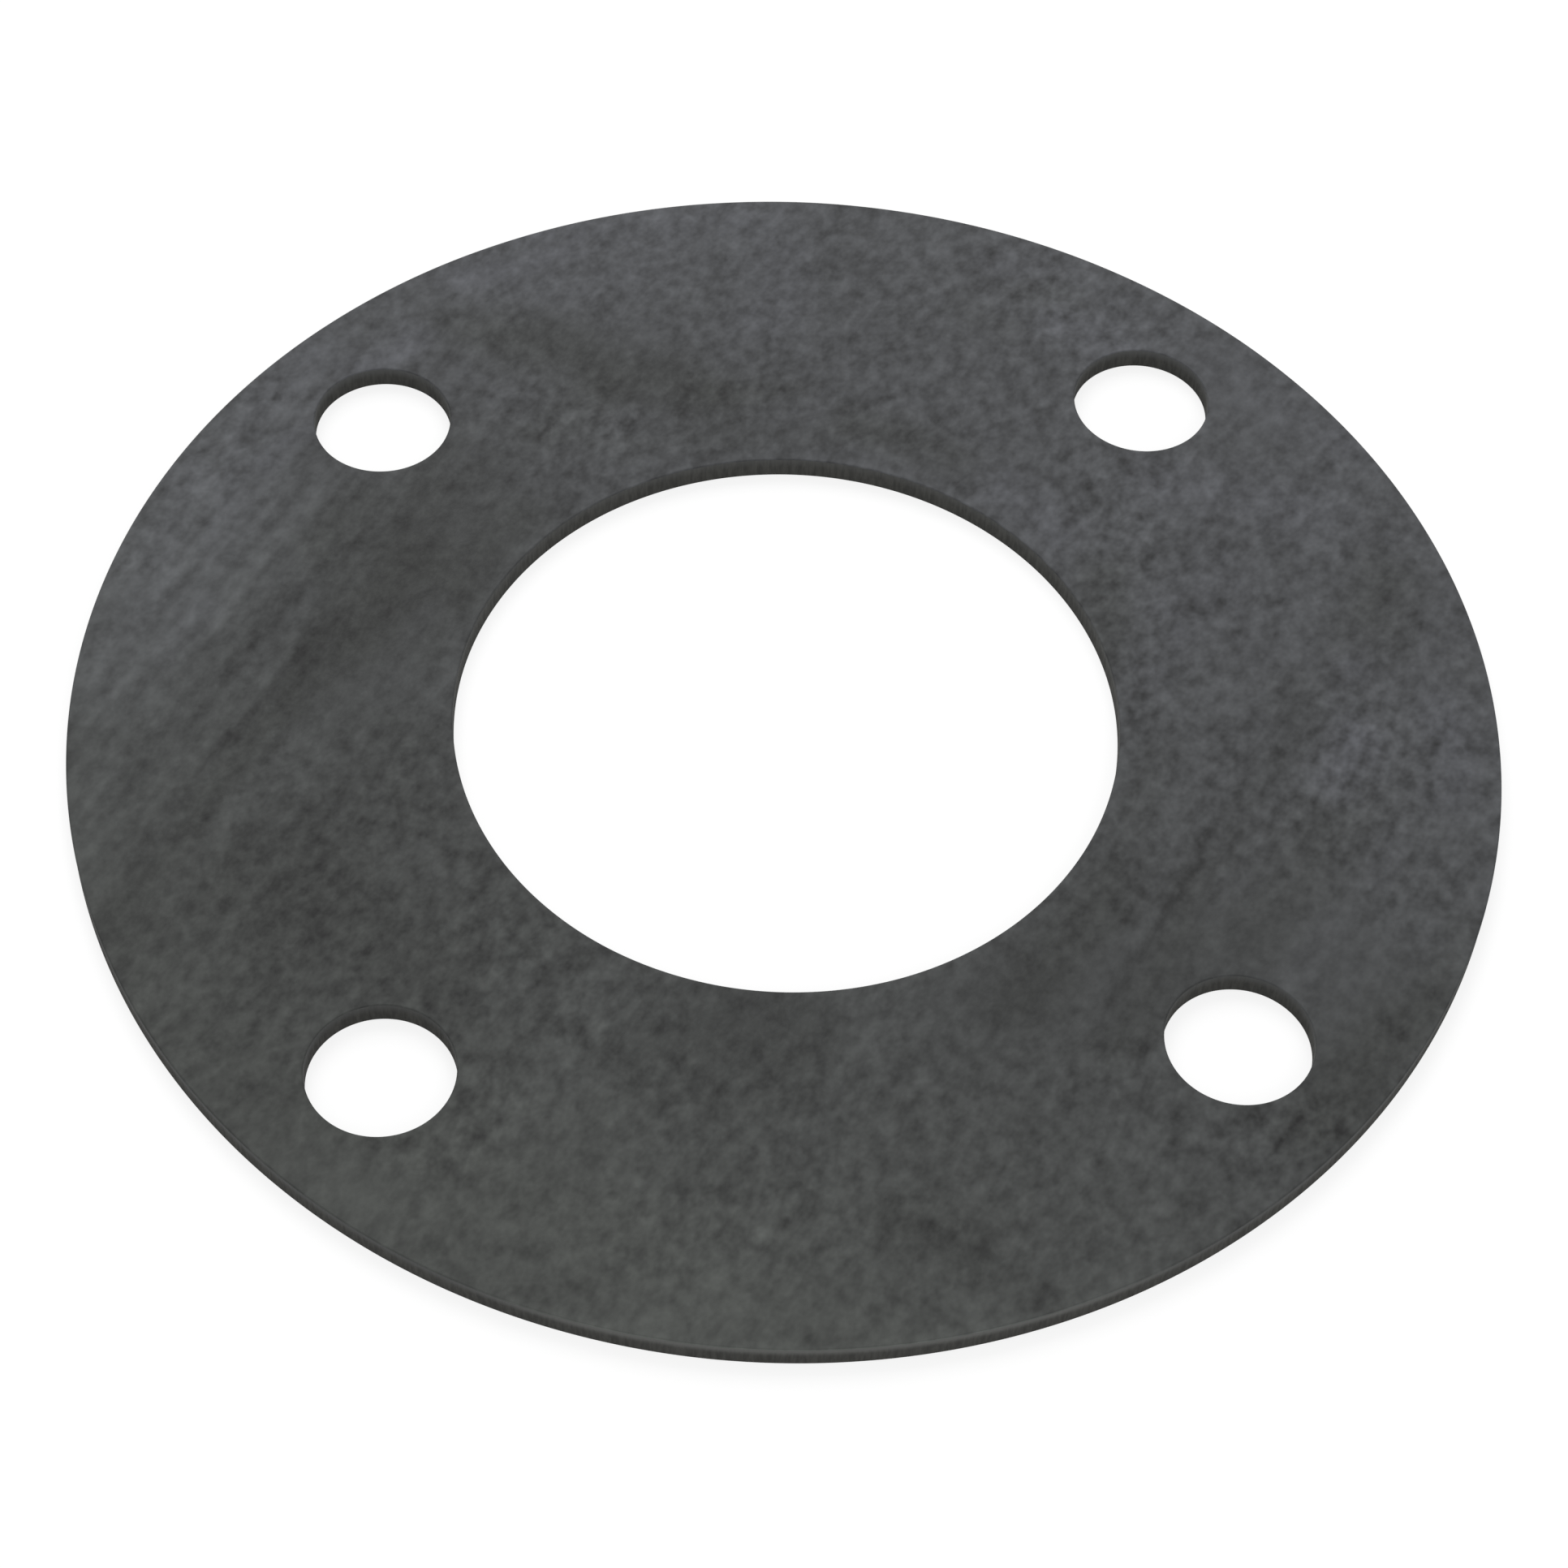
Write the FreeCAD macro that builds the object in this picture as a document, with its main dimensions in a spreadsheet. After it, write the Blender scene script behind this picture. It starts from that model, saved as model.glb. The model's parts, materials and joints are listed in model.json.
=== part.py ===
"""Full-face rubber gasket for a 3 inch pipe flange.

One flat ring, die-cut in a single stroke from 1/8 inch sheet rubber. It covers the whole face of
the flange, so the flange bolts pass through holes punched in the ring outside the pipe bore.

The frame: the origin is the centre of the lower face, where the gasket lies on the flange. +Z runs
along the pipe, out through the upper face. The X and Y axes lie midway between bolt holes, as the
centrelines of a pipe flange do. Sizes are in millimetres and angles in degrees.
"""

import math
import os

import FreeCAD, Part
import Sketcher

PARTS_FOLDER = "parts"

# Driving dimensions: name, value, what it measures
SIZES = [
    ("bore_diameter", 88.9, "pipe opening in the middle of the ring"),
    ("bolt_circle_diameter", 152.4, "circle through the centres of the bolt holes"),
    ("bolt_hole_diameter", 19.05, "each bolt hole, for a 5/8 inch bolt"),
    ("bolt_hole_count", 4, "bolt holes, evenly spaced on the bolt circle"),
    ("rim_width", 9.525, "rubber left between each bolt hole and the outside edge"),
    ("sheet_thickness", 3.175, "the sheet rubber that the ring is cut from"),
    ("edge_round", 0.3, "radius that the cutting die rolls onto each upper edge"),
]

# Sizes that follow from the driving ones
BORE_RADIUS = "Sizes.bore_diameter / 2"
BOLT_CIRCLE_RADIUS = "Sizes.bolt_circle_diameter / 2"
BOLT_HOLE_RADIUS = "Sizes.bolt_hole_diameter / 2"
OUTER_RADIUS = f"{BOLT_CIRCLE_RADIUS} + {BOLT_HOLE_RADIUS} + Sizes.rim_width"
HALF_HOLE_SPACING = "180 deg / Sizes.bolt_hole_count"
EDGE_ROUND = "min(Sizes.edge_round; Sizes.sheet_thickness / 4)"

# How a sketch constraint names a point of its geometry, and the sketch's own X axis
START, END, CENTRE = 1, 2, 3
X_AXIS = -1

PIPE_AXIS = FreeCAD.Vector(0, 0, 1)
MIDDLE = FreeCAD.Vector(0, 0, 0)


def make_size_sheet(doc):
    """Puts the driving dimensions in a spreadsheet, one named cell each."""
    sheet = doc.addObject("Spreadsheet::Sheet", "Sizes")
    for row, (name, value, meaning) in enumerate(SIZES, start=1):
        sheet.set(f"A{row}", name)
        sheet.set(f"B{row}", str(value))
        sheet.set(f"C{row}", meaning)
        sheet.setAlias(f"B{row}", name)
    doc.recompute()
    return sheet


def origin_item(body, role):
    """The body's own origin plane or axis that has this role."""
    return next(item for item in body.Origin.OriginFeatures if item.Role == role)


def new_sketch(body, name):
    """An empty sketch in the plane of the lower face."""
    sketch = body.newObject("Sketcher::SketchObject", name)
    sketch.AttachmentSupport = [(origin_item(body, "XY_Plane"), "")]
    sketch.MapMode = "FlatFace"
    return sketch


def constrain(sketch, name, size, kind, *where):
    """Adds a named constraint, such as a radius, that keeps to this size."""
    value = sketch.evalExpression(size)
    if kind == "Angle":
        value = math.radians(value.Value)
    index = sketch.addConstraint(Sketcher.Constraint(kind, *where, value))
    sketch.renameConstraint(index, name)
    sketch.setExpression(f"Constraints.{name}", size)


def centred_circle(sketch, name, radius):
    """A circle about the pipe axis."""
    drawn = Part.Circle(MIDDLE, PIPE_AXIS, sketch.evalExpression(radius))
    circle = sketch.addGeometry(drawn)
    sketch.addConstraint(Sketcher.Constraint("Coincident", circle, CENTRE, X_AXIS, START))
    constrain(sketch, name, radius, "Radius", circle)


def cut_ring(body):
    """The ring: outside edge and pipe bore, as thick as the sheet."""
    outline = new_sketch(body, "RingOutline")
    centred_circle(outline, "outer_radius", OUTER_RADIUS)
    centred_circle(outline, "bore_radius", BORE_RADIUS)

    ring = body.newObject("PartDesign::Pad", "Ring")
    ring.Profile = outline
    ring.setExpression("Length", "Sizes.sheet_thickness")
    outline.Visibility = False
    return ring


def draw_first_bolt_hole(body):
    """A circle at the end of a spoke that lies half a hole spacing from +X."""
    outline = new_sketch(body, "BoltHoleOutline")
    turn = FreeCAD.Rotation(PIPE_AXIS, outline.evalExpression(HALF_HOLE_SPACING).Value)
    centre = turn.multVec(FreeCAD.Vector(outline.evalExpression(BOLT_CIRCLE_RADIUS), 0, 0))
    radius = outline.evalExpression(BOLT_HOLE_RADIUS)

    spoke = outline.addGeometry(Part.LineSegment(MIDDLE, centre), True)
    hole = outline.addGeometry(Part.Circle(centre, PIPE_AXIS, radius))
    outline.addConstraint(Sketcher.Constraint("Coincident", spoke, START, X_AXIS, START))
    outline.addConstraint(Sketcher.Constraint("Coincident", hole, CENTRE, spoke, END))
    constrain(outline, "bolt_circle_radius", BOLT_CIRCLE_RADIUS, "Distance", spoke)
    constrain(outline, "half_hole_spacing", HALF_HOLE_SPACING, "Angle", X_AXIS, START, spoke, START)
    constrain(outline, "bolt_hole_radius", BOLT_HOLE_RADIUS, "Radius", hole)
    return outline


def punch_bolt_holes(body):
    """The first bolt hole, cut up through the ring, and the rest of them round the pipe axis."""
    outline = draw_first_bolt_hole(body)
    first = body.newObject("PartDesign::Pocket", "FirstBoltHole")
    first.Profile = outline
    first.Reversed = True
    first.setExpression("Length", "Sizes.sheet_thickness")
    outline.Visibility = False

    holes = body.newObject("PartDesign::PolarPattern", "BoltHoles")
    holes.Originals = [first]
    holes.Axis = (origin_item(body, "Z_Axis"), [""])
    holes.Angle = 360
    holes.setExpression("Occurrences", "Sizes.bolt_hole_count")
    body.Tip = holes
    return holes


def count_holes(ring, holes, sheet):
    """How many whole bolt holes' worth of rubber was punched out."""
    slug = Part.makeCylinder(sheet.bolt_hole_diameter / 2, sheet.sheet_thickness)
    return round((ring.Shape.Volume - holes.Shape.Volume) / slug.Volume, 3)


def roll_upper_edges(body, base, sheet):
    """Rounds the edges that the die enters by. The lower edges stay crisp."""
    upper = [
        f"Edge{number}"
        for number, edge in enumerate(base.Shape.Edges, start=1)
        if edge.BoundBox.ZMin > sheet.sheet_thickness / 2
    ]
    rolled = body.newObject("PartDesign::Fillet", "UpperEdges")
    rolled.Base = (base, upper)
    rolled.setExpression("Radius", EDGE_ROUND)
    return rolled


def make_gasket(doc, sheet):
    """The whole gasket as one body, lying with its lower face on Z = 0."""
    body = doc.addObject("PartDesign::Body", "FlangeGasket")
    body.Label = "flange_gasket"
    body.Placement = FreeCAD.Placement()

    ring = cut_ring(body)
    doc.recompute()
    holes = punch_bolt_holes(body)
    doc.recompute()
    if count_holes(ring, holes, sheet) != sheet.bolt_hole_count:
        raise RuntimeError("the bolt holes don't all go through the ring")

    roll_upper_edges(body, holes, sheet)
    doc.recompute()
    return body


def check(doc, bodies):
    """Stops before anything is written if a feature failed or a solid is unsound."""
    for item in doc.Objects:
        if "Invalid" in item.State or "Error" in item.State:
            raise RuntimeError(f"{item.Name} failed: {item.State}")
    for body in bodies:
        shape = body.Shape
        if shape.isNull() or not shape.isValid() or len(shape.Solids) != 1:
            raise RuntimeError(f"{body.Label} isn't one sound solid")


def main():
    doc = FreeCAD.newDocument("FlangeGasket")
    sheet = make_size_sheet(doc)
    gasket = make_gasket(doc, sheet)
    check(doc, [gasket])

    os.makedirs(PARTS_FOLDER, exist_ok=True)
    gasket.Shape.exportStep(os.path.join(PARTS_FOLDER, f"{gasket.Label}.step"))
    box = gasket.Shape.optimalBoundingBox(False)
    print(f"{gasket.Label}: {box.XLength:.2f} x {box.YLength:.2f} x {box.ZLength:.3f} mm, "
          f"{gasket.Shape.Volume / 1000:.2f} cm3")


main()
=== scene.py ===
# %% [markdown]
# A rubber flange gasket, built as a lesson
#
# The object is one flat ring of black sheet rubber, die-cut to lie between two pipe flanges. It has
# a round pipe opening in the middle and bolt holes out in the rim. This file dresses the packed
# model of the ring: it cuts a finer ring of the same size, gives the skin and the cut edges their
# own finishes, and lights and frames it as a catalogue picture would. Blender works in metres, and
# the ring's sizes are written in millimetres, times MM.

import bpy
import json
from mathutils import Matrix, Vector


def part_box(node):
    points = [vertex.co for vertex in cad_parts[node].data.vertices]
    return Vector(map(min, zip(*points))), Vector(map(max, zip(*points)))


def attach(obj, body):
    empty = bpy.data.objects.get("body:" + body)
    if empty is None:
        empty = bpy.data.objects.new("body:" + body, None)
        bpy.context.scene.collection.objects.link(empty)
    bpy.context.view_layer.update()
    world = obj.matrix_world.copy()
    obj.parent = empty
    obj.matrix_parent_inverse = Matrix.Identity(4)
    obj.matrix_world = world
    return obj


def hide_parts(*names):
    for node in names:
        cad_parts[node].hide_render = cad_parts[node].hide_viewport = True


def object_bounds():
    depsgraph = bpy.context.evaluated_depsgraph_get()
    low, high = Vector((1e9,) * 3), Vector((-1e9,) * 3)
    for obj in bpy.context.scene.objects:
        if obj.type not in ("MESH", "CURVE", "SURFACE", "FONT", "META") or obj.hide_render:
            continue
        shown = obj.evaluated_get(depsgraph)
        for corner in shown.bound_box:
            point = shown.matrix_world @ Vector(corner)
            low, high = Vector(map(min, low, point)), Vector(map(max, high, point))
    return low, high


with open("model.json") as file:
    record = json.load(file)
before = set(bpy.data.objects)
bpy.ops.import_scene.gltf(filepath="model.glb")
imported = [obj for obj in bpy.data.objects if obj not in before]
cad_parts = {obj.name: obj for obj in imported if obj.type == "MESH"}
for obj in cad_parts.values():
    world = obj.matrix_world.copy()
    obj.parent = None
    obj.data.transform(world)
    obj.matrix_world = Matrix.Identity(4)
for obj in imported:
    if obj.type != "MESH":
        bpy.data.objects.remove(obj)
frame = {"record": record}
cad_low, cad_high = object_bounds()

MM = 0.001
cad_sides = [round((high - low) / MM, 2) for low, high in zip(cad_low, cad_high)]
print("packed model, mm:", cad_sides)

# %% [markdown]
# The sizes
#
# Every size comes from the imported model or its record, so the ring here and the solid there can't
# drift apart. The mounts in the record give the pipe opening and the bolt holes, and the model's
# box gives the outside and the thickness.

# %% Read the sizes from the frame
import json
import math

import bmesh
import bpy
from mathutils import Matrix, Vector, noise

mounts = {mount["name"]: mount for mount in frame["record"]["mounts"]}
bore_radius = mounts["pipe_bore"]["dims"]["r_mm"] * MM
bolt_circle_radius = mounts["bolt_circle"]["dims"]["pcd_mm"] / 2 * MM
hole_radius = mounts["bolt_circle"]["dims"]["hole_r_mm"] * MM
hole_count = mounts["bolt_circle"]["dims"]["count"]

ring_low, ring_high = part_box("flange_gasket")
thickness = ring_high[2]
outer_radius = min(-ring_low[0], -ring_low[1], ring_high[0], ring_high[1])
print("outside", outer_radius / MM, "opening", bore_radius / MM, "thickness", thickness / MM)

# %% [markdown]
# The camera
#
# The photograph looks down on the ring from a little over half way up, with a long lens and a
# slight tilt of the camera to one side. The angles were found by fitting a camera to the outlines
# of the ring and its holes. A camera is aimed by turning its -Z axis at a target and then rolling
# it about that axis.

# %% Place the camera
LENS_MM = 86.74
SENSOR_MM = 36.0
CAMERA_TARGET = Vector((-0.88, -9.61, 0.0)) * MM
CAMERA_DISTANCE = 500.7 * MM
CAMERA_ELEVATION = math.radians(53.73)
CAMERA_AZIMUTH = math.radians(-5.68)
CAMERA_ROLL = math.radians(2.79)

# The camera sees from this many times nearer than the ring to this many times farther
CLIP_SPAN = 50

towards_camera = Vector((
    math.sin(CAMERA_AZIMUTH) * math.cos(CAMERA_ELEVATION),
    -math.cos(CAMERA_AZIMUTH) * math.cos(CAMERA_ELEVATION),
    math.sin(CAMERA_ELEVATION),
))
bpy.ops.object.select_all(action="DESELECT")
bpy.ops.object.camera_add(location=CAMERA_TARGET + towards_camera * CAMERA_DISTANCE)
camera = bpy.context.object
aim = (-towards_camera).to_track_quat("-Z", "Y").to_matrix()
camera.rotation_euler = (aim @ Matrix.Rotation(CAMERA_ROLL, 3, "Z")).to_euler()
camera.data.lens = LENS_MM
camera.data.sensor_width = SENSOR_MM
camera.data.clip_start = CAMERA_DISTANCE / CLIP_SPAN
camera.data.clip_end = CAMERA_DISTANCE * CLIP_SPAN
bpy.context.scene.camera = camera
bpy.context.scene.view_settings.view_transform = "Standard"
print("camera at", [round(x, 3) for x in camera.location])

# %% [markdown]
# Making materials with code
#
# A material is a small graph of nodes. These helpers keep the graphs short to read: one adds a
# node and fills its sockets by name, and others do one step of arithmetic, mix two colours or ramp
# from one number to another. A socket is given a plain value or the output of another node.

# %% Node helpers
def connect(tree, socket, value):
    """Links an output to the socket, or sets the socket's own value."""
    if isinstance(value, bpy.types.NodeSocket):
        tree.links.new(value, socket)
    else:
        socket.default_value = value


def add_node(tree, kind, settings=None, **sockets):
    """Adds a node, sets its properties, and fills its sockets by name."""
    made = tree.nodes.new(kind)
    for name, value in (settings or {}).items():
        setattr(made, name, value)
    for name, value in sockets.items():
        connect(tree, made.inputs[name.replace("_", " ")], value)
    return made


def number_step(tree, operation, *values, clamp=False):
    """One arithmetic step, such as ADD or MULTIPLY."""
    made = add_node(tree, "ShaderNodeMath", {"operation": operation, "use_clamp": clamp})
    for socket, value in zip(made.inputs, values):
        connect(tree, socket, value)
    return made.outputs[0]


def vector_step(tree, operation, first, second=None, scale=None):
    """One vector step. The result is a vector, or a number for LENGTH."""
    made = add_node(tree, "ShaderNodeVectorMath", {"operation": operation})
    connect(tree, made.inputs[0], first)
    if second is not None:
        connect(tree, made.inputs[1], second)
    if scale is not None:
        connect(tree, made.inputs["Scale"], scale)
    return made.outputs["Value" if operation == "LENGTH" else "Vector"]


def mix_colours(tree, share, first, second):
    """A colour that goes from the first to the second as the share goes from 0 to 1."""
    made = add_node(tree, "ShaderNodeMix", {"data_type": "RGBA"})
    # A Mix node also has sockets for numbers and vectors. These are its share and its colours.
    for socket, value in ((0, share), (6, first), (7, second)):
        connect(tree, made.inputs[socket], value)
    return made.outputs[2]


def ramp(tree, value, start, end, low=0.0, high=1.0, smooth=True):
    """Goes from low to high as the value goes from start to end, and stays there beyond them."""
    kind = "SMOOTHSTEP" if smooth else "LINEAR"
    made = add_node(tree, "ShaderNodeMapRange", {"interpolation_type": kind, "clamp": True})
    ends = {"From Min": start, "From Max": end, "To Min": low, "To Max": high}
    connect(tree, made.inputs["Value"], value)
    for name, number in ends.items():
        connect(tree, made.inputs[name], number)
    return made.outputs["Result"]


def new_material(name):
    """An empty material, its node tree, and the socket that takes its finished surface."""
    material = bpy.data.materials.new(name)
    material.use_nodes = True
    tree = material.node_tree
    tree.nodes.clear()
    output = add_node(tree, "ShaderNodeOutputMaterial")
    return material, tree, output.inputs["Surface"]


# %% [markdown]
# The floor and the light
#
# A catalogue picture has a white ground with only a faint shadow on it. The floor is a plain pale
# sheet that scatters light. To the camera it is part scattered light and part white glow, so that
# the ground reads as white, with a soft shadow, and no more light falls on the rubber for it. Far
# from the ring it is all glow, so that it meets the white background with no line. The light is an
# even pale surround and two large soft lamps. The stronger one stands behind the ring and leaves
# the cut edges that face the camera darker than the skin. The weaker one stands in front and
# catches the rounded upper edges.

# %% Floor, surround and lamps
WHITE = (1.0, 1.0, 1.0, 1.0)

# The floor's width, and how far from its middle it starts to fade and is all glow, in metres
FLOOR_WIDTH = 6.0
FLOOR_FADE_FROM, FLOOR_FADE_TO = 0.2, 0.6

FLOOR_COLOUR = (0.85, 0.85, 0.85, 1.0)
FLOOR_GLOW = 1.15
FLOOR_GLOW_SHARE = 0.68
SURROUND_LEVEL = 0.5

# Name, place and width in metres, and how bright the lamp makes a white sheet at the ring
LAMPS = [
    ("back_lamp", Vector((-0.15, 1.05, 1.15)), 1.1, 0.38),
    ("front_lamp", Vector((0.30, -1.10, 0.95)), 0.8, 0.12),
]


def lay_floor():
    """The white ground, which isn't part of the object."""
    bpy.ops.object.select_all(action="DESELECT")
    bpy.ops.mesh.primitive_plane_add(size=FLOOR_WIDTH)
    floor = bpy.context.object
    floor.name = "floor"
    material, tree, surface = new_material("white_ground")
    place = add_node(tree, "ShaderNodeTexCoord").outputs["Object"]
    away = vector_step(tree, "LENGTH", place)
    fade = ramp(tree, away, FLOOR_FADE_FROM, FLOOR_FADE_TO, FLOOR_GLOW_SHARE, 1.0)
    camera_ray = add_node(tree, "ShaderNodeLightPath").outputs["Is Camera Ray"]
    scatter = add_node(tree, "ShaderNodeBsdfDiffuse", Color=FLOOR_COLOUR)
    glow = add_node(tree, "ShaderNodeEmission", Color=WHITE, Strength=FLOOR_GLOW)
    ground = add_node(tree, "ShaderNodeMixShader")
    connect(tree, ground.inputs[0], number_step(tree, "MULTIPLY", camera_ray, fade))
    connect(tree, ground.inputs[1], scatter.outputs[0])
    connect(tree, ground.inputs[2], glow.outputs[0])
    connect(tree, surface, ground.outputs[0])
    floor.data.materials.append(material)


def light_surround():
    """An even pale surround, which the camera and reflections see as white."""
    world = bpy.data.worlds.new("pale_surround")
    bpy.context.scene.world = world
    world.use_nodes = True
    tree = world.node_tree
    tree.nodes.clear()
    path = add_node(tree, "ShaderNodeLightPath")
    seen = number_step(tree, "ADD", path.outputs["Is Camera Ray"], path.outputs["Is Glossy Ray"])
    seen = number_step(tree, "ADD", seen, path.outputs["Is Transmission Ray"], clamp=True)
    level = ramp(tree, seen, 0.0, 1.0, SURROUND_LEVEL, 1.0, smooth=False)
    background = add_node(tree, "ShaderNodeBackground", Color=WHITE, Strength=level)
    output = add_node(tree, "ShaderNodeOutputWorld")
    connect(tree, output.inputs["Surface"], background.outputs[0])


def hang_lamp(name, place, width, level):
    """A large square lamp that faces the ring and makes a white sheet there this bright."""
    bpy.ops.object.select_all(action="DESELECT")
    bpy.ops.object.light_add(type="AREA", location=place)
    lamp = bpy.context.object
    lamp.name = name
    lamp.rotation_euler = place.to_track_quat("Z", "Y").to_euler()
    lamp.data.size = width
    slant = place.z / place.length
    lamp.data.energy = level * math.pi ** 2 * place.length_squared / slant
    print(name, round(lamp.data.energy, 2), "W")


lay_floor()
light_surround()
for lamp_facts in LAMPS:
    hang_lamp(*lamp_facts)

# %% [markdown]
# Picking parts of a mesh
#
# In edit mode a step acts on what is selected. One helper opens an object for editing. Another
# selects the points or edges that pass a test, such as "lies in the upper face". The last spins
# what has been drawn into a round shape.

# %% Editing helpers
HAIR = 0.001 * MM


def edit(thing):
    """Opens this one object for editing, with nothing selected."""
    bpy.ops.object.select_all(action="DESELECT")
    bpy.context.view_layer.objects.active = thing
    thing.select_set(True)
    bpy.ops.object.mode_set(mode="EDIT")
    bpy.ops.mesh.select_all(action="DESELECT")


def select_where(thing, kind, test):
    """Selects only the points (VERT) or edges (EDGE) that pass the test."""
    bpy.ops.mesh.select_mode(type=kind)
    bpy.ops.mesh.select_all(action="DESELECT")
    mesh = bmesh.from_edit_mesh(thing.data)
    parts = {"VERT": mesh.verts, "EDGE": mesh.edges}[kind]
    for part in [part for part in parts if test(part)]:
        part.select_set(True)
    bmesh.update_edit_mesh(thing.data)


def same(first, second):
    """Whether two lengths are the same to within a hair."""
    return abs(first - second) < HAIR


def spin_section(thing, steps):
    """Turns the section once round the Z axis and closes the seam."""
    bpy.ops.mesh.select_all(action="SELECT")
    bpy.ops.mesh.spin(steps=steps, angle=2 * math.pi, center=(0, 0, 0), axis=(0, 0, 1))
    bpy.ops.mesh.select_all(action="SELECT")
    bpy.ops.mesh.remove_doubles(threshold=HAIR)
    bpy.ops.mesh.normals_make_consistent(inside=False)


# %% [markdown]
# The blank ring
#
# A ring is a section turned about an axis. The section here is a rectangle that stands in the XZ
# plane, as wide as the rubber between the opening and the outside, and as high as the sheet. The
# cutting die comes in from above and rolls the edges that it enters by, so the two upper corners
# are rounded. Rubber squeezes out under the blade and springs back, which leaves the middle of a
# cut wall slightly hollow. Then the section is spun once about the pipe axis. The many small faces
# in the top leave room for the sheet's unevenness later.

# %% Draw the section and spin it
EDGE_ROUND = 0.3 * MM
ROUND_STEPS = 5
WALL_HOLLOW = 0.07 * MM
WALL_CUTS = 5
TOP_CUTS = 53
BOTTOM_CUTS = 9
RING_STEPS = 512


def standing_rectangle(name, left, right, bottom, top):
    """A flat rectangle in the XZ plane, opened for editing."""
    bpy.ops.object.select_all(action="DESELECT")
    middle = ((left + right) / 2, 0, (bottom + top) / 2)
    bpy.ops.mesh.primitive_plane_add(size=1, location=middle, rotation=(math.pi / 2, 0, 0))
    thing = bpy.context.object
    thing.name = name
    thing.scale = (right - left, top - bottom, 1)
    bpy.ops.object.transform_apply(location=True, rotation=True, scale=True)
    edit(thing)
    return thing


def cut_edges(thing, cuts, test):
    """Cuts each loose edge that passes the test into equal lengths."""
    select_where(thing, "EDGE", test)
    bpy.ops.mesh.subdivide(number_cuts=cuts)


def upright_at(x):
    """A test for the upright edges at this distance from the axis."""
    return lambda edge: all(same(vert.co.x, x) for vert in edge.verts)


def level_at(z):
    """A test for the level edges at this height."""
    return lambda edge: all(same(vert.co.z, z) for vert in edge.verts)


def point_at(x, z):
    """A test for the point at this distance from the axis and this height."""
    return lambda vert: same(vert.co.x, x) and same(vert.co.z, z)


def hollow_wall(thing, x, depth):
    """Moves a cut wall over by up to this depth, most at the middle of its height."""
    height = thickness - EDGE_ROUND
    for level in range(1, WALL_CUTS + 1):
        share = level / (WALL_CUTS + 1)
        select_where(thing, "VERT", point_at(x, share * height))
        # This is the whole depth where the share is a half, and nothing where it is 0 or 1
        bpy.ops.transform.translate(value=(depth * 4 * share * (1 - share), 0, 0))


ring = standing_rectangle("gasket_sheet", bore_radius, outer_radius, 0, thickness)
select_where(ring, "VERT", lambda vert: same(vert.co.z, thickness))
bpy.ops.mesh.bevel(offset=EDGE_ROUND, segments=ROUND_STEPS, affect="VERTICES")
bpy.ops.mesh.select_all(action="SELECT")
bpy.ops.mesh.delete(type="ONLY_FACE")
cut_edges(ring, TOP_CUTS, level_at(thickness))
cut_edges(ring, BOTTOM_CUTS, level_at(0))
cut_edges(ring, WALL_CUTS, upright_at(bore_radius))
cut_edges(ring, WALL_CUTS, upright_at(outer_radius))
hollow_wall(ring, bore_radius, WALL_HOLLOW)
hollow_wall(ring, outer_radius, -WALL_HOLLOW)
print("section points:", len(bmesh.from_edit_mesh(ring.data).verts))
spin_section(ring, RING_STEPS)
bpy.ops.object.mode_set(mode="OBJECT")
print("ring faces:", len(ring.data.polygons))

# %% [markdown]
# The bolt holes
#
# Each bolt hole is punched by a round tool. The tool here is spun from a section too: an upright
# shank as wide as the hole, under a wider collar. The inner corner between them is rounded, so the
# tool rolls the hole's upper edge as it cuts. The collar stays a hair above the sheet, because two
# faces in one plane make an unreliable cut, and the shank is turned by half of one of its facets,
# so that none of its points meets an edge of the ring. Copies of the tool stand round the bolt
# circle, half a spacing on from the X axis as flanges have their holes, and one cut takes them all.

# %% Make the punches
PUNCH_STEPS = 128
PUNCH_OVERLAP = 1.0 * MM
COLLAR_GAP = 0.002 * MM


def turn(angle):
    """Turns what is selected about the pipe axis."""
    bpy.ops.transform.rotate(value=angle, orient_axis="Z", center_override=(0, 0, 0))


def on_collar_side(edge):
    """Whether this is the upright edge above the sheet, in line with the wall of the hole."""
    return all(same(vert.co.x, hole_radius) and vert.co.z > thickness for vert in edge.verts)


def make_punches():
    """All the punches as one object, each standing at its place on the bolt circle."""
    collar_height = thickness + COLLAR_GAP
    punches = standing_rectangle("punches", 0, hole_radius, -PUNCH_OVERLAP, collar_height)
    select_where(punches, "EDGE", level_at(collar_height))
    bpy.ops.mesh.extrude_region_move(TRANSFORM_OT_translate={"value": (0, 0, PUNCH_OVERLAP)})
    select_where(punches, "EDGE", on_collar_side)
    collar_width = EDGE_ROUND + PUNCH_OVERLAP
    bpy.ops.mesh.extrude_region_move(TRANSFORM_OT_translate={"value": (collar_width, 0, 0)})
    bpy.ops.mesh.select_all(action="SELECT")
    bpy.ops.mesh.dissolve_faces()
    select_where(punches, "VERT", point_at(hole_radius, collar_height))
    bpy.ops.mesh.bevel(offset=EDGE_ROUND, segments=ROUND_STEPS, affect="VERTICES")
    bpy.ops.mesh.select_all(action="SELECT")
    bpy.ops.mesh.delete(type="ONLY_FACE")
    select_where(punches, "EDGE", upright_at(0))
    bpy.ops.mesh.delete(type="EDGE")
    spin_section(punches, PUNCH_STEPS)

    bpy.ops.mesh.select_all(action="SELECT")
    turn(math.pi / PUNCH_STEPS)
    bpy.ops.transform.translate(value=(bolt_circle_radius, 0, 0))
    turn(math.pi / hole_count)
    for _ in range(hole_count - 1):
        bpy.ops.mesh.duplicate()
        turn(2 * math.pi / hole_count)
    bpy.ops.object.mode_set(mode="OBJECT")
    return punches


punches = make_punches()
print("punch faces:", len(punches.data.polygons))

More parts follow.
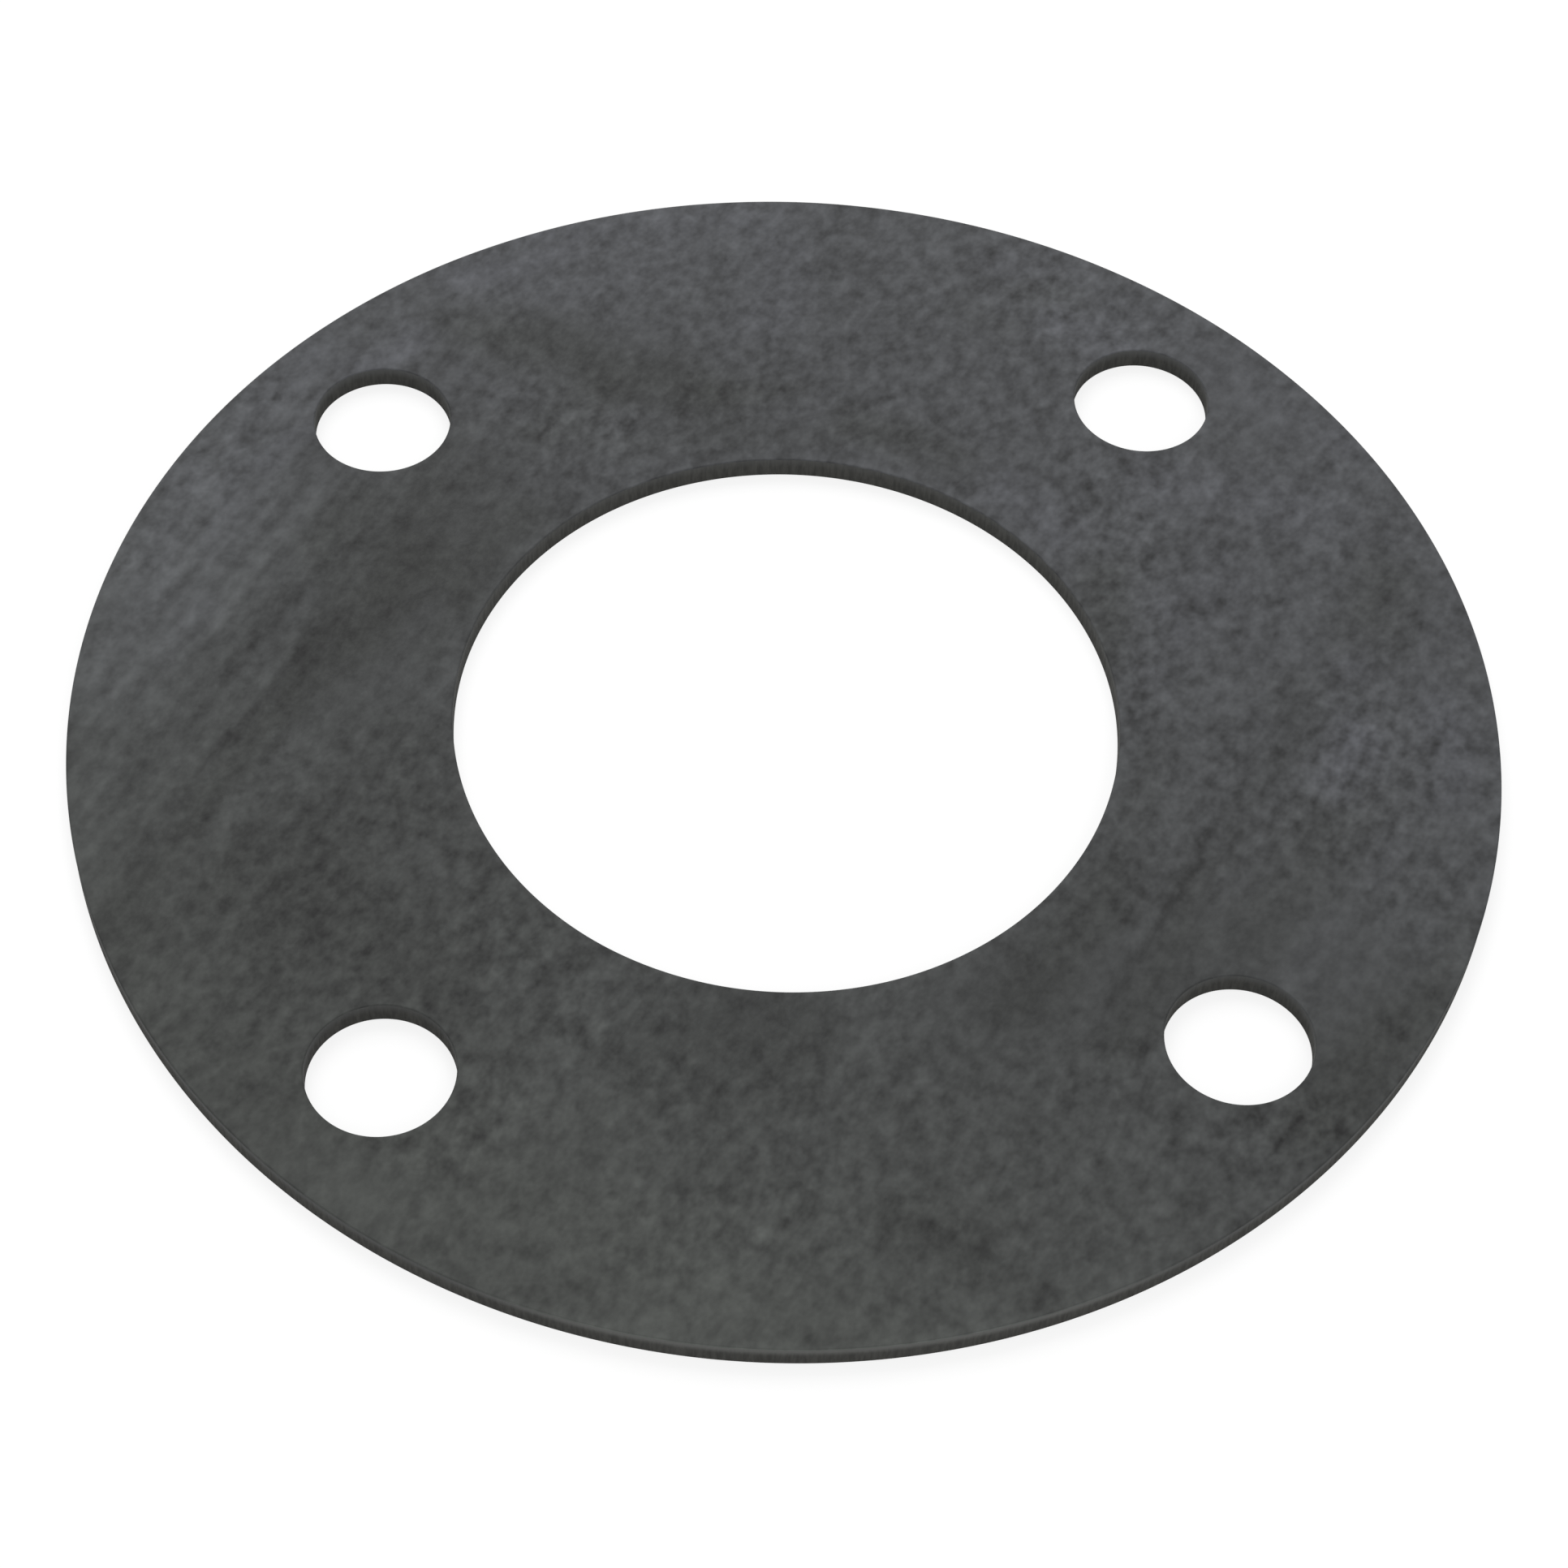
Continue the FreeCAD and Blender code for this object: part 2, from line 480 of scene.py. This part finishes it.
# %% [markdown]
# The cut itself
#
# A boolean cut takes the shape of one object out of another. The exact solver is slower than the
# others, but it copes with many thin faces side by side. A cut can leave two points where one
# should be, so they are merged, and then no edge of the ring may be open.

# %% Punch the holes
def punch_holes(ring, punches):
    """Takes the shape of the punches out of the ring."""
    bpy.ops.object.select_all(action="DESELECT")
    bpy.context.view_layer.objects.active = ring
    cut = ring.modifiers.new("bolt_holes", "BOOLEAN")
    cut.operation = "DIFFERENCE"
    cut.solver = "EXACT"
    cut.object = punches
    bpy.ops.object.modifier_apply(modifier=cut.name)
    bpy.data.objects.remove(punches)


def close_up(thing):
    """Merges points that lie on top of each other. Returns how many open edges are left."""
    edit(thing)
    bpy.ops.mesh.select_all(action="SELECT")
    bpy.ops.mesh.remove_doubles(threshold=HAIR)
    bpy.ops.mesh.normals_make_consistent(inside=False)
    open_edges = sum(not edge.is_manifold for edge in bmesh.from_edit_mesh(thing.data).edges)
    bpy.ops.object.mode_set(mode="OBJECT")
    return open_edges


punch_holes(ring, punches)
print("open edges:", close_up(ring), "ring faces with holes:", len(ring.data.polygons))

# %% [markdown]
# The sheet's unevenness
#
# Sheet rubber is pressed between cloth or rollers and is never quite flat. A cloud pattern lowers
# the upper face here and there by a few hundredths of a millimetre. It only lowers, so the ring
# stays as thick as the solid at most, and a weight that fades to nothing at the bottom keeps the
# lower face flat.

# %% Lower the upper face in places
UNEVEN_DEPTH = 0.05 * MM
UNEVEN_WIDTH = 14 * MM
UNEVEN_LAYERS = 1


def weight_by_height(thing):
    """A vertex group that is 0 at the bottom and 1 at the top."""
    group = thing.vertex_groups.new(name="height")
    for vert in thing.data.vertices:
        group.add([vert.index], max(0.0, min(1.0, vert.co.z / thickness)), "REPLACE")
    return group


def make_uneven(thing):
    """Lowers the upper face by a soft cloud pattern."""
    clouds = bpy.data.textures.new("sheet_clouds", "CLOUDS")
    clouds.noise_scale = UNEVEN_WIDTH
    clouds.noise_depth = UNEVEN_LAYERS
    press = thing.modifiers.new("press", "DISPLACE")
    press.texture = clouds
    press.texture_coords = "LOCAL"
    press.direction = "Z"
    press.mid_level = 1.0
    press.strength = UNEVEN_DEPTH
    press.vertex_group = weight_by_height(thing).name
    bpy.context.view_layer.objects.active = thing
    bpy.ops.object.modifier_apply(modifier=press.name)
    thing.vertex_groups.clear()


make_uneven(ring)
heights = [vert.co.z for vert in ring.data.vertices]
print("height, mm:", round(min(heights) / MM, 4), "to", round(max(heights) / MM, 4))

# %% [markdown]
# Smooth faces, crisp lower edges
#
# The rounds should shade as curves, the flat faces as flat, and the lower edges as crisp corners.
# Smoothing by angle keeps the corners, and weighting each point's normal by the size of the faces
# round it keeps the flat faces flat right up to their borders.

# %% Shade the ring
SMOOTH_UNDER = math.radians(40)


def shade(thing):
    """Smooth shading, with the normals weighted towards the larger faces."""
    bpy.ops.object.select_all(action="DESELECT")
    bpy.context.view_layer.objects.active = thing
    thing.select_set(True)
    bpy.ops.object.shade_smooth_by_angle(angle=SMOOTH_UNDER)
    weighted = thing.modifiers.new("weighted", "WEIGHTED_NORMAL")
    weighted.mode = "FACE_AREA_WITH_ANGLE"
    weighted.keep_sharp = True
    bpy.ops.object.modifier_apply(modifier=weighted.name)


shade(ring)
print("triangles:", sum(len(face.vertices) - 2 for face in ring.data.polygons))

# %% [markdown]
# Patterns for the skin
#
# Black rubber isn't black for long. Wax in it works its way out and dries to a thin grey bloom, a
# little blue, which is thicker in some places and rubbed away in others. Three kinds of pattern
# make such a skin. Noise gives the mottle, and stretched noise the streaks that lie along the way
# the sheet was rolled. Soft stripes, placed to match the photograph, give the places that a hand
# or another sheet has wiped. Each pattern reads the place on the ring in millimetres, so its
# sizes can be checked with a ruler.

# %% Patterns for the skin
ROLL_DIRECTION = math.radians(60)
WANDER_WIDTH, WANDER_DETAIL = 9.0, 2.0

# How much each finer layer of a rolled noise keeps of the strength of the one before
LAYER_STRENGTH = 0.9

# The painted highlight at the front of the rim: its width in mm, and the Y where it starts and is
# at its palest
HIGHLIGHT_WIDTH = 1.5
HIGHLIGHT_FROM, HIGHLIGHT_TO = -82, -92


def skin_place(tree):
    """The place on the ring in millimetres."""
    place = add_node(tree, "ShaderNodeTexCoord").outputs["Object"]
    return vector_step(tree, "SCALE", place, scale=1 / MM)


def in_parts(tree, vector):
    """The X, Y and Z of a vector."""
    return add_node(tree, "ShaderNodeSeparateXYZ", Vector=vector).outputs


def from_axis(tree, place):
    """How far the place is from the pipe axis, in millimetres."""
    flat = vector_step(tree, "MULTIPLY", place, (1, 1, 0))
    return vector_step(tree, "LENGTH", flat)


def painted_rim_highlight(tree, place):
    """1 along the front of the rim, where a highlight is painted, and 0 away from it."""
    # The painted highlight is even over the outer third of its width
    rim = outer_radius / MM
    near = ramp(tree, from_axis(tree, place), rim - HIGHLIGHT_WIDTH, rim - HIGHLIGHT_WIDTH / 3)
    front = ramp(tree, in_parts(tree, place)[1], HIGHLIGHT_FROM, HIGHLIGHT_TO)
    return number_step(tree, "MULTIPLY", near, front)


def rolled_noise(tree, place, size, stretch, layers):
    """Noise about 0, with features this size in mm, drawn out along the way of rolling."""
    turned = add_node(
        tree, "ShaderNodeVectorRotate", {"rotation_type": "Z_AXIS"},
        Vector=place, Angle=-ROLL_DIRECTION,
    )
    fineness = (1 / (size * stretch), 1 / size, 1 / size)
    drawn = add_node(
        tree, "ShaderNodeTexNoise", Scale=1.0, Detail=float(layers - 1), Roughness=LAYER_STRENGTH,
        Vector=vector_step(tree, "MULTIPLY", turned.outputs[0], fineness),
    )
    return number_step(tree, "SUBTRACT", drawn.outputs[0], 0.5)


def soft_stripe(tree, place, x, y, length, width, turn, strength):
    """Its strength in the middle, even along half its length, and 0 at its ends and sides."""
    own = add_node(
        tree, "ShaderNodeMapping", {"vector_type": "TEXTURE"}, Vector=place, Location=(x, y, 0),
        Rotation=(0, 0, math.radians(turn)), Scale=(length / 2, width / 2, 1),
    )
    along, across, _ = in_parts(tree, vector_step(tree, "ABSOLUTE", own.outputs[0]))
    ends = ramp(tree, along, 1.0, 0.5)
    return number_step(tree, "MULTIPLY", ends, ramp(tree, across, 1.0, 0.0, 0.0, strength))


def wandering(tree, place, reach):
    """The place, moved about by up to half the reach, so that stripes don't look ruled."""
    offset = add_node(
        tree, "ShaderNodeTexNoise", Vector=place, Scale=1 / WANDER_WIDTH, Detail=WANDER_DETAIL
    )
    offset = vector_step(tree, "SUBTRACT", offset.outputs["Color"], (0.5, 0.5, 0.5))
    return vector_step(tree, "ADD", place, vector_step(tree, "SCALE", offset, scale=reach))


# %% [markdown]
# The wiped and blooming places
#
# These are the marks that tell this ring from any other: the pale crescent on its left, the dark
# band beside it, the wedge above the opening. Each is a soft stripe or a few of them, above 0
# where the bloom is thick and below 0 where it is rubbed away. They were placed and corrected
# round by round, where measurements showed a render lighter or darker than the photograph.
# They are far wider than the faces of the mesh, so they are painted on its points, as with a soft
# brush in Vertex Paint, and the material reads the paint. That renders faster than as many nodes
# would. A little noise moves each point before it is painted, so that the stripes don't look
# ruled. Two more paints say where the sheet has been brushed and where its mottle is strong or
# worn smooth.

# %% Paint the marks on the ring
# Middle X and Y, length and width in mm, turn in degrees, and strength
MARKS = [
    (-85, 24, 62, 28, 66, 0.52),
    (-71, 56, 44, 17, 54, 0.28),
    (-66, 50, 20, 9, 52, 0.40),
    (-92, -16, 30, 12, 80, 0.20),
    (-76, -4, 22, 10, 62, -0.20),
    (-82, -18, 14, 7, 60, 0.14),
    (-86, -34, 16, 14, 60, -0.28),
    (-54, 28, 70, 26, 58, -0.42),
    (-60, 36, 22, 12, 60, -0.30),
    (-53, 21, 32, 13, 58, -0.28),
    (-67, 16, 24, 9, 60, 0.26),
    (-80, 17, 18, 8, 64, 0.28),
    (-79, 38, 32, 7, 82, -0.22),
    (-42, 46, 14, 8, 50, 0.16),
    (-45, 16, 20, 10, 60, -0.26),
    (-39, 30, 30, 16, 50, -0.42),
    (-78, -14, 66, 8, 58, -0.42),
    (-77, -37, 22, 12, 60, 0.18),
    (-56, -12, 40, 28, 60, -0.24),
    (-58, -34, 50, 34, -25, -0.38),
    (-40, -25, 44, 15, -55, -0.20),
    (-74, -24, 20, 8, 58, -0.14),
    (-36, 84, 28, 14, 28, 0.30),
    (-24, 80, 50, 18, 14, 0.12),
    (-32, 87, 14, 6, 20, -0.18),
    (-53, 66, 20, 10, 42, 0.38),
    (-12, 91, 52, 14, 5, 0.20),
    (-24, 64, 62, 20, -24, -0.46),
    (-27, 54, 24, 14, 40, -0.26),
    (-4, 48, 60, 10, 0, -0.18),
    (19, 48, 28, 14, -30, -0.28),
    (3, 78, 28, 18, 80, 0.20),
    (33, 70, 16, 9, -30, -0.12),
    (43, 75, 14, 10, -30, -0.16),
    (-1, 57, 20, 8, 0, -0.18),
    (38, 80, 16, 8, -26, 0.16),
    (48, 66, 20, 14, -40, 0.24),
    (60, 66, 90, 18, -45, 0.10),
    (83, 44, 14, 10, -45, 0.14),
    (36, 34, 22, 14, -48, 0.24),
    (66, 35, 40, 18, -15, 0.22),
    (58, 18, 24, 16, 40, 0.14),
    (44, 15, 26, 12, 80, -0.36),
    (52, 6, 16, 8, 60, 0.14),
    (82, 15, 24, 17, 70, -0.34),
    (67, 1, 12, 8, 60, -0.14),
    (78, 6, 14, 9, 60, 0.20),
    (92, 1, 12, 8, 80, -0.12),
    (88, -10, 26, 12, 80, 0.25),
    (74, -11, 19, 14, 60, 0.44),
    (60, -17, 70, 8, 58, -0.14),
    (65, -29, 46, 18, 56, -0.24),
    (44, -30, 10, 8, 60, 0.14),
    (46, -15, 22, 10, 65, -0.18),
    (46, -43, 44, 14, 55, -0.30),
    (54, -33, 14, 9, 60, 0.20),
    (76, -28, 14, 8, 60, 0.14),
    (84, -40, 14, 8, 60, -0.20),
    (34, -38, 40, 16, 50, -0.40),
    (70, -58, 46, 20, 48, -0.50),
    (78, -44, 18, 10, 48, 0.16),
    (64, -42, 20, 8, 50, 0.14),
    (-10, -52, 34, 30, 0, -0.26),
    (-35, -61, 26, 15, 50, 0.28),
    (-34, -80, 76, 34, -24, 0.30),
    (4, -84, 70, 36, -6, 0.20),
    (-24, -68, 30, 20, 20, 0.20),
    (-62, -68, 26, 14, -45, 0.18),
    (-4, -92, 60, 12, -2, 0.20),
    (0, -64, 18, 12, 60, 0.16),
    (-24, -77, 16, 8, 60, 0.14),
    (13, -80, 20, 14, -20, -0.38),
    (22, -88, 20, 12, -36, -0.24),
]

# Where the left of the ring has been brushed, in the same terms
BRUSHED_PLACE = (-78, 14, 150, 88, 60, 1.0)

# Where the mottle is stronger, above 0, or smoothed away, below 0
MOTTLED_PLACES = [
    (42, -43, 76, 30, 12, -0.42),
    (68, -50, 34, 26, 50, -0.30),
    (-50, 20, 62, 34, 62, -0.40),
    (-6, -48, 26, 22, 0, -0.34),
    (68, 53, 28, 18, -50, -0.30),
    (-63, -67, 32, 18, -45, -0.28),
    (-22, 66, 32, 22, -24, -0.24),
    (-88, -30, 40, 24, 70, -0.18),
    (-79, 44, 60, 26, 60, 0.34),
    (48, 24, 84, 22, 85, 0.32),
    (47, 70, 36, 24, -40, 0.36),
    (76, -12, 36, 30, 60, 0.34),
    (-44, -62, 28, 22, 40, 0.42),
    (-25, 51, 20, 16, 0, 0.42),
    (58, -68, 20, 16, 40, 0.40),
    (-12, -78, 44, 26, 0, 0.28),
    (-34, -40, 34, 22, -45, 0.26),
]

# How far a point is moved along X and Y at most, in mm, and how far off the noise for Y is read
MARK_WANDER = 1.5
OTHER_NOISE = Vector((31.7, 17.3, 5.1))


def fade(share):
    """Goes softly from 0 to 1 as the share does, and stays there beyond them."""
    share = max(0.0, min(1.0, share))
    return share * share * (3 - 2 * share)


def stripe_at(spot, x, y, length, width, turn, strength):
    """How strong a soft stripe is at this spot."""
    own = Matrix.Rotation(-math.radians(turn), 2) @ (spot - Vector((x, y)))
    return strength * fade(2 - 4 * abs(own.x) / length) * fade(1 - 2 * abs(own.y) / width)


def wander_at(spot):
    """A shift of a millimetre or so that changes slowly from place to place."""
    here = spot.to_3d() / WANDER_WIDTH
    return MARK_WANDER * Vector((noise.noise(here), noise.noise(here + OTHER_NOISE)))


def paint(thing, name, stripes):
    """Stores the sum of the stripes on each point of the mesh."""
    layer = thing.data.attributes.new(name, "FLOAT", "POINT")
    for vert, stored in zip(thing.data.vertices, layer.data):
        spot = vert.co.xy / MM
        spot += wander_at(spot)
        stored.value = sum(stripe_at(spot, *stripe) for stripe in stripes)
    return min(stored.value for stored in layer.data), max(stored.value for stored in layer.data)


print("bloom from and to:", paint(ring, "bloom", MARKS))
print("brushing from and to:", paint(ring, "brushed", [BRUSHED_PLACE]))
print("mottle from and to:", paint(ring, "mottled", MOTTLED_PLACES))

# %% [markdown]
# How light the skin is
#
# The painted marks, the mottle and the streaks each make the skin a little lighter or darker, and
# it is darkest near the opening. They are added up into one level, about 1, by which the colour is
# multiplied later. The left of the ring has been brushed, so there the mottle gives way to long
# streaks. A few scratches are only two to four faces wide, too thin to paint on the points, so
# they are nodes.

# %% How light the skin is
# Middle X and Y, length and width in mm, turn in degrees, and strength
SCRATCHES = [
    (50, -29, 92, 3.4, 58, -0.26),
    (49, -23, 60, 3.4, 59, -0.10),
    (-69, 31, 46, 4, 63, 0.26),
    (-67, 20, 36, 2.4, 57, -0.20),
    (-76, -5, 50, 3.4, 57, -0.24),
    (-60, -20, 28, 3, 45, -0.18),
    (36, 51, 20, 1.8, 22, -0.26),
    (-39, 58, 16, 1.6, -20, -0.24),
    (2, 54, 22, 1.6, -7, -0.16),
    (20, -84, 26, 3.4, -36, -0.24),
    (0, -86, 14, 2, 50, -0.20),
    (5, -54, 20, 2.4, 56, 0.24),
    (-10, -82, 22, 2.4, 52, 0.16),
]

SCRATCH_WANDER = 0.8

# How light the skin is near the opening and near the rim, and how much mottle brushing leaves
OPENING_RADIUS, RIM_RADIUS = 48, 90
OPENING_LEVEL, RIM_LEVEL = 0.91, 0.98
BRUSHED_MOTTLE = 0.8

# Size in mm, stretch, layers, and share of each noise: all over, and in the brushed place only
MOTTLE = [(26, 2.2, 1, 0.2), (9, 1.6, 2, 0.5), (2.6, 1.25, 2, 1.8), (1.2, 1.2, 2, 1.0)]
STREAKS = [(4.2, 7, 2, 0.75), (1.7, 8, 1, 0.85)]


def add_noises(tree, place, noises):
    """The sum of these noises, each times its share."""
    total = 0.0
    for size, stretch, layers, share in noises:
        drawn = rolled_noise(tree, place, size, stretch, layers)
        total = number_step(tree, "MULTIPLY_ADD", drawn, share, total)
    return total


def painted(tree, name):
    """The value that was painted on the points under this name."""
    return add_node(tree, "ShaderNodeAttribute", {"attribute_name": name}).outputs["Fac"]


def skin_level(tree, place):
    """How light the skin is, about 1."""
    radius = from_axis(tree, place)
    level = ramp(tree, radius, OPENING_RADIUS, RIM_RADIUS, OPENING_LEVEL, RIM_LEVEL, smooth=False)
    level = number_step(tree, "ADD", level, painted(tree, "bloom"))
    brushed = painted(tree, "brushed")
    kept = ramp(tree, brushed, 0.0, 1.0, 1.0, BRUSHED_MOTTLE, smooth=False)
    streaks = add_noises(tree, place, STREAKS)
    texture = number_step(tree, "MULTIPLY", add_noises(tree, place, MOTTLE), kept)
    texture = number_step(tree, "MULTIPLY_ADD", streaks, brushed, texture)
    strength = number_step(tree, "ADD", painted(tree, "mottled"), 1.0)
    level = number_step(tree, "MULTIPLY_ADD", texture, strength, level)
    moved = wandering(tree, place, SCRATCH_WANDER)
    for scratch in SCRATCHES:
        level = number_step(tree, "ADD", level, soft_stripe(tree, moved, *scratch))
    return level


# %% [markdown]
# The skin
#
# The skin is near black under a share of grey-blue bloom. The share rises across the ring, from
# the front left to the back right, and more so where a painted mark is pale. That rise is a painted
# sheen of the light from behind, which makes the back lighter and bluer. The whole colour is then
# made lighter or darker by the level. The front of the rim has a painted highlight, strongest on
# its rolled edge. A fine grain stands up from the skin and makes it duller and shinier by turns.
# It is too small to model, so that is a bump.

# %% Material of the skin
BASE_COLOUR = (0.0206, 0.0240, 0.0131, 1.0)
BLOOM_COLOUR = (0.0716, 0.0732, 0.0848, 1.0)
RUBBER_SHINE = 0.35

# The way in which the painted sheen rises across the ring, where along it that starts and ends, in
# mm, and the bloom's share of the colour at each
SHEEN_DIRECTION = math.radians(60)
SHEEN_FROM, SHEEN_TO = -80, 40
FRONT_SHARE, BACK_SHARE = 0.35, 0.65

# What a mark adds to that share, in step with the painted sheen, and what it takes from the level,
# so that only the tint changes
MARK_BLOOM, MARK_LIGHT = 0.40, -0.44

# How upright the normal is on the flat of the sheet, and well over the rolled edge
FLAT_NORMAL, ROLLED_NORMAL = 0.98, 0.75

# How much lighter the painted highlight makes the front of the rim on the flat, and how much more
# on its edge
FLAT_HIGHLIGHT, EDGE_HIGHLIGHT = 0.24, 1.20

# The grain: its size in mm, stretch and layers, how far its noise swings from 0, how rough the
# skin is at either end of that, and how strong and high the bump is
GRAIN = (0.5, 1.3, 2)
GRAIN_SWING = 0.15
SHINY_GRAIN, DULL_GRAIN = 0.67, 0.73
GRAIN_STRENGTH = 0.5
GRAIN_HEIGHT = 0.02 * MM


def painted_sheen_rise(tree, place):
    """0 at the front left and 1 at the back right: a painted sheen of the light from behind, which
    makes the back lighter and bluer.
    """
    x, y, _ = in_parts(tree, place)
    along = number_step(tree, "MULTIPLY", x, math.cos(SHEEN_DIRECTION))
    along = number_step(tree, "MULTIPLY_ADD", y, math.sin(SHEEN_DIRECTION), along)
    return ramp(tree, along, SHEEN_FROM, SHEEN_TO, smooth=False)


def rolled_edge(tree):
    """0 on the flat of the sheet and 1 on the rolled edge."""
    upright = in_parts(tree, add_node(tree, "ShaderNodeNewGeometry").outputs["Normal"])[2]
    return ramp(tree, upright, FLAT_NORMAL, ROLLED_NORMAL)


def skin_colour(tree, place):
    """The base colour under its bloom, lighter or darker from place to place."""
    rise = painted_sheen_rise(tree, place)
    tinted = number_step(tree, "MULTIPLY", rise, painted(tree, "bloom"))
    # The bloom's share rises towards the back right, a painted sheen of the light from behind
    share = number_step(tree, "MULTIPLY_ADD", rise, BACK_SHARE - FRONT_SHARE, FRONT_SHARE)
    share = number_step(tree, "MULTIPLY_ADD", tinted, MARK_BLOOM, share)
    level = number_step(tree, "MULTIPLY_ADD", tinted, MARK_LIGHT, skin_level(tree, place))
    # A painted highlight along the front of the rim, strongest on the rolled edge
    highlight = number_step(tree, "MULTIPLY_ADD", rolled_edge(tree), EDGE_HIGHLIGHT, FLAT_HIGHLIGHT)
    level = number_step(tree, "MULTIPLY_ADD", highlight, painted_rim_highlight(tree, place), level)
    colour = mix_colours(tree, share, BASE_COLOUR, BLOOM_COLOUR)
    return vector_step(tree, "SCALE", colour, scale=level)


def add_rubber(tree, surface, colour, roughness, bump):
    """Makes rubber of this colour, roughness and bump the finished surface."""
    rubber = add_node(tree, "ShaderNodeBsdfPrincipled", Base_Color=colour, Roughness=roughness)
    connect(tree, rubber.inputs["Specular IOR Level"], RUBBER_SHINE)
    connect(tree, rubber.inputs["Normal"], bump.outputs[0])
    connect(tree, surface, rubber.outputs[0])


def make_skin():
    """Sheet rubber as it comes from the roll, with bloom on it."""
    material, tree, surface = new_material("sheet_rubber_skin")
    place = skin_place(tree)
    grain = rolled_noise(tree, place, *GRAIN)
    roughness = ramp(
        tree, grain, -GRAIN_SWING, GRAIN_SWING, SHINY_GRAIN, DULL_GRAIN, smooth=False
    )
    bump = add_node(
        tree, "ShaderNodeBump", Strength=GRAIN_STRENGTH, Distance=GRAIN_HEIGHT, Height=grain
    )
    add_rubber(tree, surface, skin_colour(tree, place), roughness, bump)
    return material


skin = make_skin()
print("nodes in the skin:", len(skin.node_tree.nodes))

# %% [markdown]
# The cut edges
#
# A die leaves rubber darker and duller than the skin, because there is no bloom on a fresh cut,
# and its blade scores the wall faintly up and down. The top of the wall starts pale and darkens on
# the way down, more at the rim than at the opening. It is palest at the front of the rim, where a
# highlight is painted on. The scoring is noise that is drawn out in height.

# %% Material of the cut edges
CUT_COLOUR = (0.045, 0.045, 0.041)
EDGE_COLOUR = (0.078, 0.080, 0.079, 1.0)
# The painted highlight on the top of the wall at the front of the rim
RIM_HIGHLIGHT_COLOUR = (0.115, 0.117, 0.112, 1.0)

# How far down the wall it is paler, in mm, and how much paler at the opening and at the rim
PALE_DEPTH = 1.7
OPENING_PALENESS, RIM_PALENESS = 0.5, 1.0

# How far below the upper face the wall is still at its palest, in mm
PALEST_DEPTH = 0.1

# The scoring: how many marks to a mm round the wall and up it, how fine, the levels of its noise
# where it is darkest and lightest, its share of the colour and its roughness at each, and its bump
SCORES_ROUND, SCORES_UP = 2.2, 0.35
SCORE_DETAIL = 2.0
SCORE_FROM, SCORE_TO = 0.25, 0.75
SCORE_DARK, SCORE_LIGHT = 0.75, 1.25
DULL_SCORE, SHINY_SCORE = 0.85, 0.75
SCORE_STRENGTH = 0.6
SCORE_HEIGHT = 0.03 * MM


def pale_wall_top(tree, place):
    """How pale the top of the wall is: most at the top, and at the rim."""
    top = thickness / MM
    height = in_parts(tree, place)[2]
    near_top = ramp(tree, height, top - PALE_DEPTH, top - PALEST_DEPTH)
    radius = from_axis(tree, place)
    amount = ramp(tree, radius, OPENING_RADIUS, RIM_RADIUS, OPENING_PALENESS, RIM_PALENESS)
    return number_step(tree, "MULTIPLY", near_top, amount)


def make_cut():
    """Rubber where the die went through it."""
    material, tree, surface = new_material("cut_rubber")
    place = skin_place(tree)
    drawn = vector_step(tree, "MULTIPLY", place, (SCORES_ROUND, SCORES_ROUND, SCORES_UP))
    score = add_node(
        tree, "ShaderNodeTexNoise", Vector=drawn, Scale=1.0, Detail=SCORE_DETAIL
    ).outputs[0]
    dark = tuple(SCORE_DARK * part for part in CUT_COLOUR) + (1.0,)
    light = tuple(SCORE_LIGHT * part for part in CUT_COLOUR) + (1.0,)
    wall = mix_colours(tree, ramp(tree, score, SCORE_FROM, SCORE_TO), dark, light)
    roughness = ramp(tree, score, SCORE_FROM, SCORE_TO, DULL_SCORE, SHINY_SCORE)
    bump = add_node(
        tree, "ShaderNodeBump", Strength=SCORE_STRENGTH, Distance=SCORE_HEIGHT, Height=score
    )
    # The top of the wall at the front of the rim has a painted highlight
    edge = mix_colours(tree, painted_rim_highlight(tree, place), EDGE_COLOUR, RIM_HIGHLIGHT_COLOUR)
    colour = mix_colours(tree, pale_wall_top(tree, place), wall, edge)
    add_rubber(tree, surface, colour, roughness, bump)
    return material


cut = make_cut()
print("nodes in the cut edges:", len(cut.node_tree.nodes))

# %% [markdown]
# Dress the ring
#
# The steep faces are the walls that the die cut, up into the round of the rolled edges, and all
# the others are skin. A steep face has a normal that points sideways more than up or down.

# %% Give each face its finish
# How upright a normal may be, from 0 to 1, for its face to count as wall
WALL_NORMAL = 0.5


def dress(thing):
    """Gives the walls the cut finish, and all the rest the skin. Returns how many are cut."""
    thing.data.materials.clear()
    thing.data.materials.append(skin)
    thing.data.materials.append(cut)
    for face in thing.data.polygons:
        face.material_index = 1 if abs(face.normal.z) < WALL_NORMAL else 0
    return sum(face.material_index for face in thing.data.polygons)


print("cut faces:", dress(ring))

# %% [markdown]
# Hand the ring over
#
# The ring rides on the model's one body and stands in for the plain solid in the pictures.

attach(ring, "root")
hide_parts("flange_gasket")
